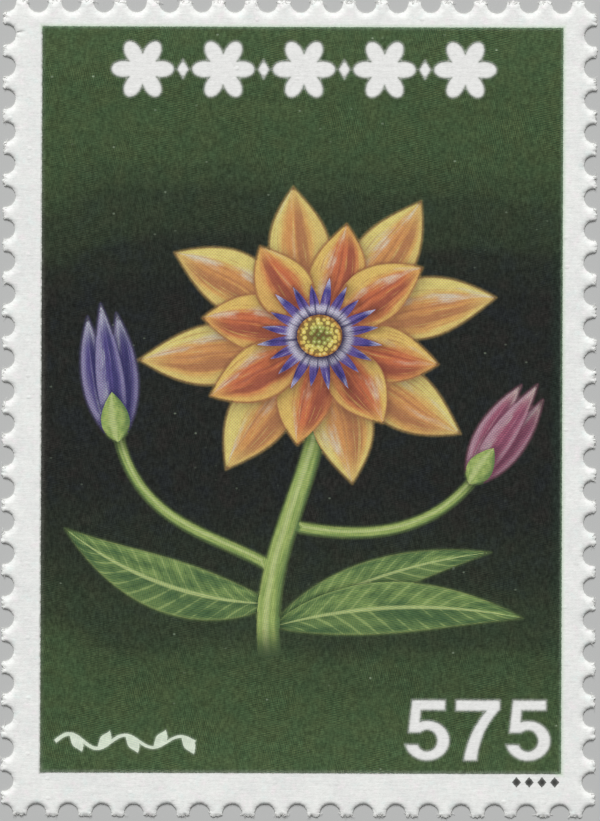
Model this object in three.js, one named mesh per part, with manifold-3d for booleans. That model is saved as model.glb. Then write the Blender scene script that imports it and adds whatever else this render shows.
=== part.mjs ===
// A perforated postage stamp, lying flat on its gummed back with the printed face up.
// Millimetres. The middle of the sheet is at x = 0, y = 0, and the back is at z = 0.
// +Y is the top of the picture.
import * as THREE from "three";
import { mergeVertices } from "three/addons/utils/BufferGeometryUtils.js";
import Module from "manifold-3d";

const wasm = await Module();
wasm.setup();

// Perforation: round holes on the sheet's outer line, torn through between the holes.
const HOLES_ACROSS = 18; // pitches from corner hole to corner hole
const HOLES_DOWN = 25;
const PITCH_ACROSS = 1.44; // 13.9 holes in 20 mm
const PITCH_DOWN = 20 / 14; // 14 holes in 20 mm
const HOLE_RADIUS = 0.45;
const TOOTH_OVERHANG = 0.14; // the torn tips reach this far past the middle line of the holes
const HOLE_STEPS = 6;
const CORNER_HOLE_STEPS = 3;

// Layers, from the back up.
const GUM_THICKNESS = 0.02;
const PAPER_THICKNESS = 0.09;
const INK_THICKNESS = 0.01;
const INK_Z = GUM_THICKNESS + PAPER_THICKNESS;
const CUTTER_MARGIN = 0.01; // a cutting film stands this far proud of the film that it cuts

// The printed panel sits a little above the middle of the sheet.
const PANEL = { x: 0.12, y: 0.37, width: 22.92, height: 32.83 };

// Bare-paper row across the head of the panel.
const ROSETTE = { count: 5, lobes: 6, steps: 36, radius: 1.38, waist: 0.5, x: 0.17, y: 14.92, pitch: 3.55 };
const SPACER = { halfWidth: 0.26, halfHeight: 0.42 };

// Bare-paper figures at the foot of the panel, right-aligned.
const FIGURES = { text: "575", height: 2.67, width: 1.95, gap: 0.27, right: 11.11, y: -15.47 };
const FIGURE_CURVE_STEPS = 3;

// Small pale flourish at the foot of the panel, on the left.
const FLOURISH = { left: -10.67, right: -4.52, y: -14.68, swing: 0.34, fade: 0.35, waves: 2.5, steps: 16 };
const FLOURISH_THICK = [0.16, 0.11];
const FLOURISH_LEAF = { count: 5, length: 0.95, halfWidth: 0.25, angle: 0.95, bend: 0.18, steps: 3 };

// Small black marks in the bottom border.
const MARKS = { count: 4, pitch: 0.56, x: 9.62, y: -16.41, halfWidth: 0.2, halfHeight: 0.23 };

// The printed blossom, seen from the front and a little from above.
const BLOSSOM = { x: 0.9, y: 3.2, squash: 0.93 };
const OUTER_PETALS = {
  count: 8, length: 7.6, start: 0.9, halfWidth: 1.34, turn: 0.19, lead: 1.1, blunt: 0.98, steps: 7,
};
const INNER_PETALS = {
  count: 8, length: 5.3, start: 0.5, halfWidth: 1.24, turn: 0.58, lead: 0.98, blunt: 0.92, steps: 7,
};
// No two petals or rays are quite alike: the size of each difference, and its rate from one to the next.
const UNEVEN = {
  length: { size: 0.06, rate: 1.7 },
  angle: { size: 0.05, rate: 2.4 },
  bend: { size: 0.08, rate: 3.1 },
  ray: { size: 0.08, rate: 2.1 },
};
const RAYS = { count: 20, inner: 1.4, outer: 2.6 };
const MIDDLE = { radius: 1.0, steps: 16 };

// Stems, leaves and side buds.
const STEM = { path: [[0.9, 2.6], [1.7, -2.4], [-1.9, -5.6], [-1.25, -10.9]], thick: [0.7, 1.05], steps: 9 };
const SIDE_STEMS = [
  { path: [[-0.95, -7.15], [-3.2, -5.6], [-6.9, -5.4], [-7.9, -1.4]], thick: [0.5, 0.42], steps: 7 },
  { path: [[-0.1, -5.2], [2.0, -5.6], [5.4, -5.9], [7.6, -3.2]], thick: [0.5, 0.42], steps: 7 },
];
const LEAVES = [
  { base: [-1.1, -8.6], tip: [-10.3, -5.3], halfWidth: 1.2, bend: 0.17, lead: 0.86, blunt: 0.9, steps: 8 },
  { base: [-1.1, -9.6], tip: [9.9, -9.2], halfWidth: 1.15, bend: 0.12, lead: 0.84, blunt: 0.9, steps: 8 },
  { base: [-1.1, -9.6], tip: [8.5, -6.3], halfWidth: 0.85, bend: 0.11, lead: 0.8, blunt: 0.9, steps: 8 },
];
const BUDS = [
  { name: "violet_bud", color: "violet", base: [-7.95, -1.5], tip: [-8.75, 4.6], halfWidth: 1.02 },
  { name: "pink_bud", color: "pink", base: [7.5, -3.3], tip: [10.5, 1.1], halfWidth: 0.92 },
];
const BUD_BLADE = { lead: 0.8, blunt: 0.85, steps: 5 };
const BUD_FRONT = { width: 0.62 }; // shares of the bud's half width and length
const BUD_SIDE = { width: 0.66, spread: 0.62, drop: 0.08, bend: 0.1 };
const BUD_CUP = { width: 0.62, length: 0.36 };

// Finishes: colour, roughness.
const FINISH = {
  gum: [0xe9e6d8, 0.35],
  paper: [0xe6e7e4, 0.9],
  ground: [0x2f3d2b, 0.6],
  orange: [0xd98c3c, 0.6],
  deepOrange: [0xc8643a, 0.6],
  violet: [0x55469a, 0.6],
  pink: [0xb0557a, 0.6],
  middle: [0xd8cf6a, 0.6],
  stem: [0x8fae55, 0.6],
  leaf: [0x5f8a42, 0.6],
  pale: [0xcfdcc0, 0.6],
  black: [0x2a2c29, 0.6],
};

const halfAcross = (HOLES_ACROSS * PITCH_ACROSS) / 2;
const halfDown = (HOLES_DOWN * PITCH_DOWN) / 2;
const group = new THREE.Group();

function finish(name) {
  const [color, roughness] = FINISH[name];
  return new THREE.MeshStandardMaterial({ color, roughness, metalness: 0 });
}

function addMesh(name, geometry, material) {
  const mesh = new THREE.Mesh(geometry, finish(material));
  mesh.name = name;
  group.add(mesh);
}

function point([x, y]) {
  return new THREE.Vector2(x, y);
}

// A flat layer: an outline given thickness.
function layer(shape, z, thickness) {
  return new THREE.ExtrudeGeometry(shape, { depth: thickness, bevelEnabled: false }).translate(0, 0, z);
}

function toSolid(geometry) {
  geometry.deleteAttribute("normal");
  geometry.deleteAttribute("uv");
  const merged = mergeVertices(geometry, 1e-5);
  return new wasm.Manifold(
    new wasm.Mesh({
      numProp: 3,
      vertProperties: merged.attributes.position.array,
      triVerts: new Uint32Array(merged.index.array),
    }),
  );
}

function toGeometry(solid) {
  const mesh = solid.getMesh();
  const geometry = new THREE.BufferGeometry();
  geometry.setAttribute("position", new THREE.BufferAttribute(mesh.vertProperties, 3));
  geometry.setIndex(new THREE.BufferAttribute(mesh.triVerts, 1));
  return geometry;
}

// The sheet's outline, counterclockwise. Along each side the holes bite in, and the teeth between them end
// on a line just past the holes' middles. A hole stands on each corner too.
function perforatedOutline() {
  const reach = Math.acos(-TOOTH_OVERHANG / HOLE_RADIUS); // half the angle of hole that is left in the sheet
  const across = { holes: HOLES_ACROSS, pitch: PITCH_ACROSS };
  const down = { holes: HOLES_DOWN, pitch: PITCH_DOWN };
  const sides = [
    { corner: [-halfAcross, -halfDown], along: [1, 0], inward: [0, 1], ...across },
    { corner: [halfAcross, -halfDown], along: [0, 1], inward: [-1, 0], ...down },
    { corner: [halfAcross, halfDown], along: [-1, 0], inward: [0, -1], ...across },
    { corner: [-halfAcross, halfDown], along: [0, -1], inward: [1, 0], ...down },
  ];
  const points = [];
  for (const { corner, along, inward, holes, pitch } of sides) {
    for (let hole = 0; hole < holes; hole++) {
      const steps = hole === 0 ? CORNER_HOLE_STEPS : HOLE_STEPS;
      const from = hole === 0 ? Math.PI / 2 - reach : -reach;
      for (let step = 0; step <= steps; step++) {
        const angle = from + ((reach - from) * step) / steps;
        const out = HOLE_RADIUS * Math.sin(angle);
        const deep = HOLE_RADIUS * Math.cos(angle);
        const x = corner[0] + along[0] * (hole * pitch + out) + inward[0] * deep;
        const y = corner[1] + along[1] * (hole * pitch + out) + inward[1] * deep;
        points.push(new THREE.Vector2(x, y));
      }
    }
  }
  return points;
}

// A petal or leaf: pointed at both ends, on a spine that bends to one side.
function blade({ base, tip, halfWidth, bend = 0, lead = 1, blunt = 1, steps = 6 }) {
  const start = point(base);
  const end = point(tip);
  const along = end.clone().sub(start);
  const side = new THREE.Vector2(-along.y, along.x);
  const middle = start.clone().add(end).multiplyScalar(0.5).addScaledVector(side, bend);
  const spine = new THREE.QuadraticBezierCurve(start, middle, end);
  const left = [];
  const right = [];
  for (let step = 1; step < steps; step++) {
    const t = step / steps;
    const half = halfWidth * Math.sin(Math.PI * t ** lead) ** blunt;
    const at = spine.getPoint(t);
    const tangent = spine.getTangent(t);
    left.push(new THREE.Vector2(at.x - tangent.y * half, at.y + tangent.x * half));
    right.push(new THREE.Vector2(at.x + tangent.y * half, at.y - tangent.x * half));
  }
  return new THREE.Shape([start, ...right, end, ...left.reverse()]);
}

// A stroke of tapering thickness along a curve.
function stroke(curve, thick, steps) {
  const left = [];
  const right = [];
  for (let step = 0; step <= steps; step++) {
    const t = step / steps;
    const half = THREE.MathUtils.lerp(thick[0], thick[1], t) / 2;
    const at = curve.getPoint(t);
    const tangent = curve.getTangent(t);
    left.push(new THREE.Vector2(at.x - tangent.y * half, at.y + tangent.x * half));
    right.push(new THREE.Vector2(at.x + tangent.y * half, at.y - tangent.x * half));
  }
  return new THREE.Shape([...right, ...left.reverse()]);
}

function stemStroke({ path, thick, steps }) {
  return stroke(new THREE.CubicBezierCurve(...path.map(point)), thick, steps);
}

// A closed outline whose radius is a function of the angle, squashed in y for a tilted one.
function roundOutline(x, y, steps, radiusAt, squash = 1) {
  const points = [];
  for (let step = 0; step < steps; step++) {
    const angle = (2 * Math.PI * step) / steps;
    const radius = radiusAt(angle, step);
    points.push(new THREE.Vector2(x + radius * Math.cos(angle), y + squash * radius * Math.sin(angle)));
  }
  return new THREE.Shape(points);
}

function lozenge(x, y, halfWidth, halfHeight) {
  return new THREE.Shape([
    new THREE.Vector2(x, y - halfHeight),
    new THREE.Vector2(x + halfWidth, y),
    new THREE.Vector2(x, y + halfHeight),
    new THREE.Vector2(x - halfWidth, y),
  ]);
}

// Figures in a box 0.73 wide and 1 high, before scaling.
const FIGURE_BOX_WIDTH = 0.73;
const FIGURE_PATHS = {
  5: (path) => {
    path.moveTo(0.11, 1);
    path.lineTo(0.66, 1);
    path.lineTo(0.66, 0.83);
    path.lineTo(0.26, 0.83);
    path.absellipse(0.36, 0.33, 0.37, 0.33, 1.9, -2.95, true);
    path.absellipse(0.36, 0.33, 0.165, 0.175, -2.75, 2.3, false);
    path.lineTo(0.05, 0.46);
  },
  7: (path) => {
    path.moveTo(0.13, 0);
    path.quadraticCurveTo(0.2, 0.47, 0.5, 0.82);
    path.lineTo(0, 0.82);
    path.lineTo(0, 1);
    path.lineTo(0.73, 1);
    path.lineTo(0.73, 0.85);
    path.quadraticCurveTo(0.4, 0.5, 0.35, 0);
  },
};

function figure(digit, left) {
  const path = new THREE.Path();
  FIGURE_PATHS[digit](path);
  const scaleX = FIGURES.width / FIGURE_BOX_WIDTH;
  const points = path.getPoints(FIGURE_CURVE_STEPS).map(
    ({ x, y }) => new THREE.Vector2(left + x * scaleX, FIGURES.y + y * FIGURES.height),
  );
  return new THREE.Shape(points);
}

// The places of the panel that stay bare paper: rosettes with spacers between them, and the figures.
function bareShapes() {
  const shapes = [];
  const { count, lobes, steps, radius, waist, x, y, pitch } = ROSETTE;
  const lobed = (angle) => radius * (waist + (1 - waist) * Math.abs(Math.cos((lobes * angle) / 2)));
  for (let i = 0; i < count; i++) {
    const at = x + (i - (count - 1) / 2) * pitch;
    shapes.push(roundOutline(at, y, steps, lobed));
    if (i < count - 1) {
      shapes.push(lozenge(at + pitch / 2, y, SPACER.halfWidth, SPACER.halfHeight));
    }
  }
  [...FIGURES.text].forEach((digit, i) => {
    const fromRight = FIGURES.text.length - i;
    const left = FIGURES.right - fromRight * FIGURES.width - (fromRight - 1) * FIGURES.gap;
    shapes.push(figure(digit, left));
  });
  return shapes;
}

function uneven(kind, i) {
  const { size, rate } = UNEVEN[kind];
  return size * Math.sin(rate * i + 1);
}

// A point of the blossom, at an angle and distance from its middle.
function blossomPoint(angle, radius) {
  return [BLOSSOM.x + radius * Math.cos(angle), BLOSSOM.y + BLOSSOM.squash * radius * Math.sin(angle)];
}

// One ring of petals round the blossom's middle. Every second petal lies on top of its neighbours.
function petalRing(name, color, ring) {
  const petals = [];
  for (let i = 0; i < ring.count; i++) {
    const angle = ring.turn + (2 * Math.PI * i) / ring.count + uneven("angle", i);
    const shape = blade({
      ...ring,
      base: blossomPoint(angle, ring.start),
      tip: blossomPoint(angle, ring.length * (1 + uneven("length", i))),
      bend: uneven("bend", i),
    });
    petals.push({ name: `${name}_${i + 1}`, color, shapes: [shape] });
  }
  return [...petals.filter((_, i) => i % 2 === 0), ...petals.filter((_, i) => i % 2 === 1)];
}

// A closed bud: a front petal, two side petals behind it, and a green cup at its foot.
function bud({ name, color, base, tip, halfWidth }) {
  const line = point(tip).sub(point(base));
  const side = new THREE.Vector2(-line.y, line.x).normalize().multiplyScalar(halfWidth * BUD_SIDE.spread);
  const sideFoot = point(tip).addScaledVector(line, -BUD_SIDE.drop);
  const cupTip = point(base).addScaledVector(line, BUD_CUP.length).toArray();
  const piece = (to, share, bend = 0) =>
    blade({ ...BUD_BLADE, base, tip: to, halfWidth: halfWidth * share, bend });
  const pieces = {
    cup: piece(cupTip, BUD_CUP.width),
    front_petal: piece(tip, BUD_FRONT.width),
    left_petal: piece(sideFoot.clone().add(side).toArray(), BUD_SIDE.width, BUD_SIDE.bend),
    right_petal: piece(sideFoot.clone().sub(side).toArray(), BUD_SIDE.width, -BUD_SIDE.bend),
  };
  return Object.entries(pieces).map(([key, shape]) => ({
    name: `${name}_${key}_ink`,
    color: key === "cup" ? "stem" : color,
    shapes: [shape],
  }));
}

function flourish() {
  const { left, right, y, swing, fade, waves, steps } = FLOURISH;
  const wave = new THREE.Curve();
  wave.getPoint = (t) =>
    new THREE.Vector2(
      THREE.MathUtils.lerp(left, right, t),
      y + swing * (1 - fade * t) * Math.sin(2 * Math.PI * waves * t),
    );
  const shapes = [stroke(wave, FLOURISH_THICK, steps)];
  for (let i = 0; i < FLOURISH_LEAF.count; i++) {
    const down = i % 2 === 0 ? -1 : 1;
    const base = wave.getPoint((i + 0.5) / FLOURISH_LEAF.count);
    const angle = FLOURISH_LEAF.angle * down;
    const tip = [
      base.x + FLOURISH_LEAF.length * Math.cos(angle),
      base.y + FLOURISH_LEAF.length * Math.sin(angle),
    ];
    shapes.push(blade({ ...FLOURISH_LEAF, base: base.toArray(), tip, bend: -FLOURISH_LEAF.bend * down }));
  }
  return shapes;
}

// Every printed film, the one on top first. Each is cut back by the films printed over it.
function printedFilms() {
  const { x, y, squash } = BLOSSOM;
  const middle = roundOutline(x, y, MIDDLE.steps, () => MIDDLE.radius, squash);
  const rayReach = (angle, step) => (step % 2 === 0 ? RAYS.inner : RAYS.outer * (1 + uneven("ray", step)));
  const rays = roundOutline(x, y, 2 * RAYS.count, rayReach, squash);
  return [
    { name: "middle_ink", color: "middle", shapes: [middle] },
    { name: "ray_ring_ink", color: "violet", shapes: [rays] },
    ...petalRing("inner_petal_ink", "deepOrange", INNER_PETALS),
    ...petalRing("outer_petal_ink", "orange", OUTER_PETALS),
    ...BUDS.flatMap(bud),
    { name: "stem_ink", color: "stem", shapes: [STEM, ...SIDE_STEMS].map(stemStroke) },
    ...LEAVES.map((leaf, i) => ({ name: `leaf_ink_${i + 1}`, color: "leaf", shapes: [blade(leaf)] })),
    { name: "flourish_ink", color: "pale", shapes: flourish() },
  ];
}

function joined(shapes, z, thickness) {
  return shapes.map((shape) => toSolid(layer(shape, z, thickness))).reduce((sum, solid) => sum.add(solid));
}

const sheet = new THREE.Shape(perforatedOutline());
addMesh("gum_layer", layer(sheet, 0, GUM_THICKNESS), "gum");
addMesh("paper_sheet", layer(sheet, GUM_THICKNESS, PAPER_THICKNESS), "paper");

const cutterZ = INK_Z - CUTTER_MARGIN;
const cutterThickness = INK_THICKNESS + 2 * CUTTER_MARGIN;
let printedOver = joined(bareShapes(), cutterZ, cutterThickness);
for (const { name, color, shapes } of printedFilms()) {
  const film = joined(shapes, INK_Z, INK_THICKNESS);
  addMesh(name, toGeometry(film.subtract(printedOver)), color);
  printedOver = printedOver.add(joined(shapes, cutterZ, cutterThickness));
}

const panelLeft = PANEL.x - PANEL.width / 2;
const panelFoot = PANEL.y - PANEL.height / 2;
const panel = new THREE.Shape([
  new THREE.Vector2(panelLeft, panelFoot),
  new THREE.Vector2(panelLeft + PANEL.width, panelFoot),
  new THREE.Vector2(panelLeft + PANEL.width, panelFoot + PANEL.height),
  new THREE.Vector2(panelLeft, panelFoot + PANEL.height),
]);
addMesh("ground_ink", toGeometry(joined([panel], INK_Z, INK_THICKNESS).subtract(printedOver)), "ground");

for (let i = 0; i < MARKS.count; i++) {
  const shape = lozenge(MARKS.x + i * MARKS.pitch, MARKS.y, MARKS.halfWidth, MARKS.halfHeight);
  addMesh(`border_mark_ink_${i + 1}`, layer(shape, INK_Z, INK_THICKNESS), "black");
}

export default group;
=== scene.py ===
"""A mint postage stamp lying face up: perforated paper with a gummed back and a generic flower print in
screened inks. Lengths are in millimetres until a mesh is made, with the middle of the sheet at x = y = 0."""
import math
import random

import bpy
import numpy as np
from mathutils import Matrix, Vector
from mathutils.geometry import delaunay_2d_cdt
from mathutils.kdtree import KDTree


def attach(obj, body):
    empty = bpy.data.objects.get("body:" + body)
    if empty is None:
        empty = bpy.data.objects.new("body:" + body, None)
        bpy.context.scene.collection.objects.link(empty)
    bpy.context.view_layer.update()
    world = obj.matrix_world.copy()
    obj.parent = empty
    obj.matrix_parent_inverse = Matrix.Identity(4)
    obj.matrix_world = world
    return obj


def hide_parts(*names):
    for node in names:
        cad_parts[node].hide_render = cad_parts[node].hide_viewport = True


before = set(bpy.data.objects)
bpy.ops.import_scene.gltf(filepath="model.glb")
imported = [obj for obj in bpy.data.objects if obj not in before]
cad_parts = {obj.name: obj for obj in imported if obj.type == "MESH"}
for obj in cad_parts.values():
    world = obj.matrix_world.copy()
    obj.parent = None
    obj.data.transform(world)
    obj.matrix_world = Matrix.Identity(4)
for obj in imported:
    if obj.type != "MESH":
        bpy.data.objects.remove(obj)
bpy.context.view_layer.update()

MM = 0.001  # metres in a millimetre

# The sheet and its perforation, as in the frame.
HOLES_ACROSS = 18
HOLES_DOWN = 25
PITCH_ACROSS = 1.44
PITCH_DOWN = 20 / 14
HOLE_RADIUS = 0.45
HALF_ACROSS = HOLES_ACROSS * PITCH_ACROSS / 2
HALF_DOWN = HOLES_DOWN * PITCH_DOWN / 2

# Layers, from the back up.
GUM_TOP = 0.02
PAPER_TOP = 0.11
INK_TOP = 0.12

# How the sheet was punched and torn.
SHEET_SEED = 7
ARC_STEP = 0.045  # between outline points on a hole's rim
TEAR_STEP = 0.026  # between outline points on a torn tip
TEAR_KNOTS = 5  # long steps in the tear between two holes
TEAR_JAG = 0.014
PUNCH_WANDER = 0.016  # of a hole's middle and radius
PUNCH_BURR = 0.009
TIP_FOOT = 0.05  # the rims end, and the tears start, this far past the line of the holes' middles
TIP_LEAST = 0.0  # how far the tears reach past that line
TIP_MOST = 0.138
RIM_WIDTH = (0.2, 0.38)  # the face bends down over this width towards the sheet's foot, and towards its top
RIM_DROP = (0.043, 0.095)
RIM_BEND = 2.5  # 1 for a straight slope, more for a bend that steepens towards the rim
RIM_GRID = 0.055
SHARP_ANGLE = 50  # degrees between faces, from which an edge stays sharp
# A fold in the top left corner: steep on the side of the sheet's top, gentle on the other.
CREASE = {"start": (-12.55, 16.49), "end": (-12.05, 16.57), "steep": 0.06, "gentle": 0.16, "depth": 0.08}
CREASE_STEP = 0.025
CREASE_CLEAR = 1.2  # the even grid of the face keeps this many gentle widths away from the crease

# Loose fibres on the torn tips.
FIBRES = {"on_a_tip": 13, "length": (0.07, 0.24), "spread": 0.75, "curl": 8.0, "radius": (0.006, 0.013)}
LONG_FIBRES = {"share": 0.3, "length": (0.28, 0.55), "curl": 7.0}
FIBRE_PLACES = (0.05, 0.95)  # where on a tip's width fibres start
FIBRE_HEIGHT = (0.035, 0.08)
FIBRE_LIFT = 0.03
FIBRE_ROOT = 0.05  # how deep a fibre starts inside the paper
FIBRE_STEPS = 7
FIBRE_SIDES = 5

# The printed panel and the places left bare in it.
PANEL = {"x": 0.12, "y": 0.37, "width": 22.92, "height": 32.83}
ROSETTE = {"count": 5, "lobes": 6, "radius": 1.38, "waist": 0.5, "x": 0.17, "y": 14.92, "pitch": 3.55}
SPACER = {"half_width": 0.26, "half_height": 0.42}
FIGURES = {"text": "575", "height": 2.67, "width": 1.95, "gap": 0.27, "right": 11.11, "y": -15.47}
FIGURE_BOX_WIDTH = 0.73
MARKS = {"count": 4, "pitch": 0.56, "x": 9.62, "y": -16.41, "half_width": 0.2, "half_height": 0.23}
PRINT_STEP = 0.09  # between outline points of the print
DOT_STEP = 0.045  # between the outline points that the screen dots put off the line
PRINT_RAGGED = 0.009  # how far they put them off
EDGE_SLACK = 1.1  # points of a ragged edge lie this many half widths from the middle at most
PRINT_GRID = 0.19  # between points inside the petals and leaves
RING_CLEAR = 0.9  # a ring of points beside an outline keeps this share of its distance everywhere
EDGE_REACH = 0.12  # two colours run into each other over this width on both sides of their edge

# How many points curves are drawn and measured with.
ARC_LEAST = 6
CURVE_POINTS = 14
LENGTH_POINTS = 200
PLACE_POINTS = 160
MIDDLE_POINTS = 80
RAY_POINTS = 40  # for each ray
HEADING_STEP = 0.001  # as a share of the length
POINTED = 0.001  # a ribbon of less than this half width ends in a point
ON_EDGE = 0.001  # a point nearer to an edge than this lies on it
TRIANGLES_INSIDE = 1  # the kind of answer that Blender's triangulation gives
SAME_POINT = 1e-6  # points nearer to each other than this become one
LEAST_HALF_WIDTH = 0.02  # places across a ribbon are measured with at least this

# The flourish at the foot.
FLOURISH = {"left": -10.67, "right": -4.52, "y": -14.68, "swing": 0.34, "fade": 0.35, "waves": 2.5}
FLOURISH_THICK = (0.16, 0.11)
FLOURISH_LEAF = {"count": 5, "length": 0.95, "half_width": 0.25, "angle": 0.95, "bend": 0.18}

# The blossom.
BLOSSOM = {"x": 0.9, "y": 3.2, "squash": 0.93}
OUTER_PETALS = {
    "count": 8, "length": 7.6, "start": 0.9, "half_width": 1.34, "turn": 0.19, "lead": 1.1, "blunt": 0.98,
}
INNER_PETALS = {
    "count": 8, "length": 5.3, "start": 0.5, "half_width": 1.24, "turn": 0.58, "lead": 0.98, "blunt": 0.92,
}
UNEVEN = {"length": (0.06, 1.7), "angle": (0.05, 2.4), "bend": (0.08, 3.1), "ray": (0.08, 2.1)}
RAYS = {"count": 20, "inner": 1.4, "outer": 2.6}
MIDDLE_RADIUS = 1.0

# Stems, leaves and side buds.
STEMS = [
    {"path": [(0.9, 2.6), (1.7, -2.4), (-1.9, -5.6), (-1.25, -10.9)], "thick": (0.7, 1.05)},
    {"path": [(-0.95, -7.15), (-3.2, -5.6), (-6.9, -5.4), (-7.9, -1.4)], "thick": (0.5, 0.42)},
    {"path": [(-0.1, -5.2), (2.0, -5.6), (5.4, -5.9), (7.6, -3.2)], "thick": (0.5, 0.42)},
]
LEAVES = [
    {"base": (-1.1, -8.6), "tip": (-10.3, -5.3), "half_width": 1.2, "bend": 0.17, "lead": 0.86},
    {"base": (-1.1, -9.6), "tip": (9.9, -9.2), "half_width": 1.15, "bend": 0.12, "lead": 0.84},
    {"base": (-1.1, -9.6), "tip": (8.5, -6.3), "half_width": 0.85, "bend": 0.11, "lead": 0.8},
]
LEAF_BLUNT = 0.9
BUDS = [
    {
        "name": "violet_bud", "slot": "violet_ink",
        "base": (-7.95, -1.5), "tip": (-8.75, 4.6), "half_width": 1.02,
    },
    {
        "name": "pink_bud", "slot": "pink_ink",
        "base": (7.5, -3.3), "tip": (10.5, 1.1), "half_width": 0.92,
    },
]
BUD_BLADE = {"lead": 0.8, "blunt": 0.85}
BUD_FRONT_WIDTH = 0.62
BUD_SIDE = {"width": 0.66, "spread": 0.62, "drop": 0.08, "bend": 0.1}
BUD_CUP = {"width": 0.62, "length": 0.36}

# Painted shade where one petal lies on another.
SHADE_REACH = 0.34
SHADE_TURN = 0.28  # how much of the shade depends on the painted light
SHADE_AT_EDGE = 0.8
PAINTED_LIGHT = (0.55, -0.83)  # the way that the painted light falls


# Outlines


def lerp(start, end, share):
    return start + (end - start) * share


def tear(start, end, outward, draw):
    """Points of the torn edge between two holes: a few long steps with fine ones on them."""
    steps = round(np.linalg.norm(end - start) / TEAR_STEP)
    reaches = [lerp(TIP_LEAST, TIP_MOST, math.sqrt(draw.random())) for _ in range(TEAR_KNOTS)]
    knots = [TIP_FOOT, *reaches, TIP_FOOT]
    places = np.linspace(0, steps, len(knots))
    points = []
    for step in range(1, steps):
        reach = np.interp(step, places, knots) + draw.uniform(-TEAR_JAG, TEAR_JAG)
        points.append(lerp(start, end, step / steps) + outward * (min(reach, TIP_MOST) - TIP_FOOT))
    return points


def torn_outline():
    """The sheet's edge, counterclockwise, and its torn tips as (start, end, outward)."""
    draw = random.Random(SHEET_SEED)
    reach = math.acos(-TIP_FOOT / HOLE_RADIUS)
    across = (HOLES_ACROSS, PITCH_ACROSS)
    down = (HOLES_DOWN, PITCH_DOWN)
    sides = [
        ((-HALF_ACROSS, -HALF_DOWN), (1, 0), (0, 1), across),
        ((HALF_ACROSS, -HALF_DOWN), (0, 1), (-1, 0), down),
        ((HALF_ACROSS, HALF_DOWN), (-1, 0), (0, -1), across),
        ((-HALF_ACROSS, HALF_DOWN), (0, -1), (1, 0), down),
    ]
    arcs = []
    for corner, along, inward, (holes, pitch) in sides:
        corner, along, inward = np.array(corner), np.array(along), np.array(inward)
        for hole in range(holes):
            start = math.pi / 2 - reach if hole == 0 else -reach
            middle = corner + along * (hole * pitch + draw.uniform(-PUNCH_WANDER, PUNCH_WANDER))
            radius = HOLE_RADIUS + draw.uniform(-PUNCH_WANDER, PUNCH_WANDER)
            steps = round((reach - start) * radius / ARC_STEP)
            arc = []
            for step in range(steps + 1):
                angle = lerp(start, reach, step / steps)
                burred = radius + draw.uniform(-PUNCH_BURR, PUNCH_BURR)
                arc.append(middle + burred * (along * math.sin(angle) + inward * math.cos(angle)))
            arcs.append((arc, -inward))
    points = []
    tips = []
    for index, (arc, outward) in enumerate(arcs):
        end = arcs[(index + 1) % len(arcs)][0][0]
        points += arc + tear(arc[-1], end, outward, draw)
        tips.append((arc[-1], end, outward))
    return np.array(points), tips


def arc_points(middle, radii, start, end):
    """Points of an ellipse's arc, ends included, about PRINT_STEP apart once a figure is full size."""
    steps = max(ARC_LEAST, round(abs(end - start) * max(radii) * FIGURES["height"] / PRINT_STEP))
    angles = np.linspace(start, end, steps + 1)
    return [(middle[0] + radii[0] * math.cos(a), middle[1] + radii[1] * math.sin(a)) for a in angles]


def curve_points(start, control, end):
    """Points of a quadratic curve, ends included."""
    shares = np.linspace(0, 1, CURVE_POINTS)
    start, control, end = np.array(start), np.array(control), np.array(end)
    return [tuple((1 - t) ** 2 * start + 2 * t * (1 - t) * control + t * t * end) for t in shares]


def figure_outline(digit, left):
    """A 5 or a 7, from points in a box that is 1 high and FIGURE_BOX_WIDTH wide."""
    if digit == "5":
        points = [(0.11, 1), (0.66, 1), (0.66, 0.83), (0.26, 0.83)]
        points += arc_points((0.36, 0.33), (0.37, 0.33), 1.9, -2.95)
        points += arc_points((0.36, 0.33), (0.165, 0.175), -2.75, 2.3)
        points += [(0.05, 0.46)]
    else:
        points = curve_points((0.13, 0), (0.2, 0.47), (0.5, 0.82))
        points += [(0, 0.82), (0, 1), (0.73, 1)]
        points += curve_points((0.73, 0.85), (0.4, 0.5), (0.35, 0))
    wide = FIGURES["width"] / FIGURE_BOX_WIDTH
    return np.array([(left + x * wide, FIGURES["y"] + y * FIGURES["height"]) for x, y in points])


def screen_edged(points, seed):
    """A closed outline as the dots of a print make it: each new point is a little off the line."""
    draw = random.Random(seed)
    made = []
    for start, end in zip(points, np.roll(points, -1, axis=0)):
        length = np.linalg.norm(end - start)
        made.append(start)
        count = round(length / DOT_STEP)
        for index in range(1, count):
            aside = np.array((start[1] - end[1], end[0] - start[0])) / length
            off = draw.uniform(-PRINT_RAGGED, PRINT_RAGGED)
            made.append(lerp(start, end, index / count) + aside * off)
    return np.array(made)


def rectangle(x, y, half_width, half_height):
    corners = ((-1, -1), (1, -1), (1, 1), (-1, 1))
    return np.array([(x + side * half_width, y + up * half_height) for side, up in corners])


def lozenge(x, y, half_width, half_height):
    return np.array([(x, y - half_height), (x + half_width, y), (x, y + half_height), (x - half_width, y)])


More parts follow.
